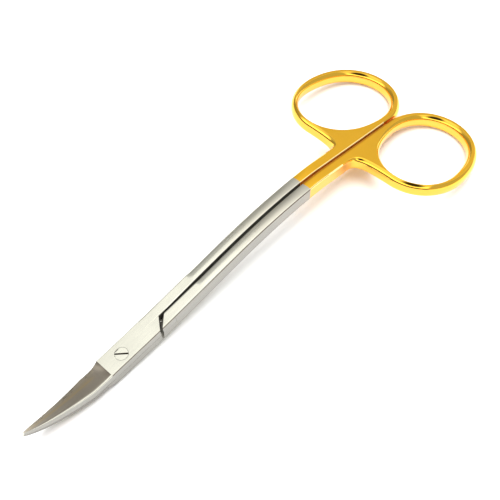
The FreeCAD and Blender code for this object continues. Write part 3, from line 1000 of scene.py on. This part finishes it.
floorPlan = {"size": 8.0, "colour": (0.93, 0.93, 0.93), "darker": 0.995, "mottle": 30.0, "roughness": 0.6,
             "specular": 0.2}


def buildFloor():
    s = floorPlan
    mesh = bpy.data.meshes.new("floor")
    reach = s["size"] / 2
    corners = [(x * reach, y * reach, 0) for x, y in ((-1, -1), (1, -1), (1, 1), (-1, 1))]
    mesh.from_pydata(corners, [], [(0, 1, 2, 3)])
    floor = bpy.data.objects.new("floor", mesh)
    scene.collection.objects.link(floor)
    material, tree, shader, position = newMaterial("paleFloor")
    noise = addNode(tree, "ShaderNodeTexNoise")
    setInputs(noise, Scale=s["mottle"])
    tree.links.new(position, noise.inputs["Vector"])
    dark = tuple(c * s["darker"] for c in s["colour"])
    tree.links.new(mixColour(tree, noise.outputs["Fac"], dark, s["colour"]), shader.inputs["Base Color"])
    setInputs(shader, **{"Roughness": s["roughness"], "Specular IOR Level": s["specular"]})
    mesh.materials.append(material)


buildFloor()

lights = {
    # (degrees above the horizon, brightness of the room)
    "farSide": [(0, 0.55), (8, 0.38), (15, 0.34), (24, 0.41), (33, 0.48), (38, 0.66), (46, 0.70),
                (53, 0.66), (57, 0.76), (60, 1.35), (63, 1.5), (90, 1.7)],
    "nearSide": [(0, 0.12), (15, 0.12), (21, 1.3), (25, 2.3), (36, 2.3), (42, 1.4), (46, 1.1),
                 (60, 1.3), (90, 1.7)],
    # direction of a part of the room, and the cosines to it between which the part begins
    "nearAt": ((-0.73, -0.68, 0.0), -0.3, 0.05),
    "rightAt": ((0.5, -0.866, 0.0), 0.56, 0.68),
    "ringsAt": ((0.9, -0.44, 0.0), 0.2, 0.38),
    "rightLevel": 0.6,
    "ringsRise": 1.5,                       # how much brighter it is behind the rings
    "cameraAt": (-0.430, -0.400, 0.809),    # the dark camera that polished faces mirror
    "cameraSpread": (12.0, 28.0),           # degrees
    "cameraLevel": 0.03,
    "keyFrom": (0.03, 0.05, 1.15),
    "keySpread": 60.0,                      # degrees
    "keyStrength": 3.0,
}


def heightRamp(tree, height, stops, label):
    ramp = addNode(tree, "ShaderNodeValToRGB", label)
    elements = ramp.color_ramp.elements
    while len(elements) < len(stops):
        elements.new(1.0)
    for element, (angle, level) in zip(elements, stops):
        element.position = angle / 90.0
        element.color = (level, level, level, 1.0)
    tree.links.new(height, ramp.inputs["Fac"])
    return ramp.outputs["Color"]


def shareTowards(tree, direction, towards, low, high, label):
    return rangeNode(tree, dotNode(tree, direction, towards, label), low, high)


def buildWorld():
    s = lights
    world = bpy.data.worlds.new("studio")
    scene.world = world
    world.use_nodes = True
    tree = world.node_tree
    direction = addNode(tree, "ShaderNodeTexCoord").outputs["Generated"]
    split = addNode(tree, "ShaderNodeSeparateXYZ")
    tree.links.new(direction, split.inputs[0])
    height = mathNode(tree, "ARCSINE", split.outputs["Z"])
    height = mathNode(tree, "MAXIMUM", mathNode(tree, "MULTIPLY", height, 2 / math.pi), 0.0)
    far = heightRamp(tree, height, s["farSide"], "far side")
    near = heightRamp(tree, height, s["nearSide"], "near side")
    rings = shareTowards(tree, direction, *s["ringsAt"], "behind the rings")
    far = mixColour(tree, rings, far, mixColour(tree, 1.0, far, (s["ringsRise"],) * 3, blend="MULTIPLY"))
    level = mixColour(tree, shareTowards(tree, direction, *s["nearAt"], "near side"), far, near)
    right = shareTowards(tree, direction, *s["rightAt"], "right side")
    level = mixColour(tree, right, level, (s["rightLevel"],) * 3)
    camera = dotNode(tree, direction, s["cameraAt"], "towards the camera")
    off = mathNode(tree, "ARCCOSINE", mathNode(tree, "MINIMUM", camera, 1.0))
    inner, outer = (math.radians(a) for a in s["cameraSpread"])
    shade = rangeNode(tree, off, inner, outer, s["cameraLevel"], 1.0)
    level = mixColour(tree, 1.0, level, shade, blend="MULTIPLY")
    path = addNode(tree, "ShaderNodeLightPath")
    level = mixColour(tree, path.outputs["Is Camera Ray"], level, (1.0, 1.0, 1.0), "white behind the table")
    tree.links.new(level, tree.nodes["Background"].inputs["Color"])
    tree.nodes["Background"].inputs["Strength"].default_value = 1.0


# Lamp or camera at a place, looking ahead
def aim(name, data, location, ahead):
    thing = bpy.data.objects.new(name, data)
    scene.collection.objects.link(thing)
    thing.location = location
    thing.rotation_mode = "QUATERNION"
    thing.rotation_quaternion = ahead.to_track_quat("-Z", "Y")
    return thing


def buildKey():
    s = lights
    data = bpy.data.lights.new("key", "SUN")
    data.angle = math.radians(s["keySpread"])
    data.energy = s["keyStrength"]
    aim("key", data, s["keyFrom"], -Vector(s["keyFrom"])).visible_glossy = False


buildWorld()
buildKey()

cameraPlan = {
    "turn": 42.92,                # degrees from +X towards +Y that the camera looks
    "down": 54.03,                # degrees below the horizon
    "distance": 0.2399,
    "lookAt": (0.00093, 0.00094, 0.0),
    "lens": 60.25,
    "sensor": 36.0,
    "clip": (0.01, 20.0),
}


def buildCamera():
    s = cameraPlan
    turn, down = math.radians(s["turn"]), math.radians(s["down"])
    ahead = Vector((math.cos(down) * math.cos(turn), math.cos(down) * math.sin(turn), -math.sin(down)))
    data = bpy.data.cameras.new("camera")
    data.lens = s["lens"]
    data.sensor_width = s["sensor"]
    data.clip_start, data.clip_end = s["clip"]
    scene.camera = aim("camera", data, Vector(s["lookAt"]) - ahead * s["distance"], ahead)


buildCamera()
scene.view_settings.view_transform = "Standard"
scene.view_settings.look = "None"
print("stage built")
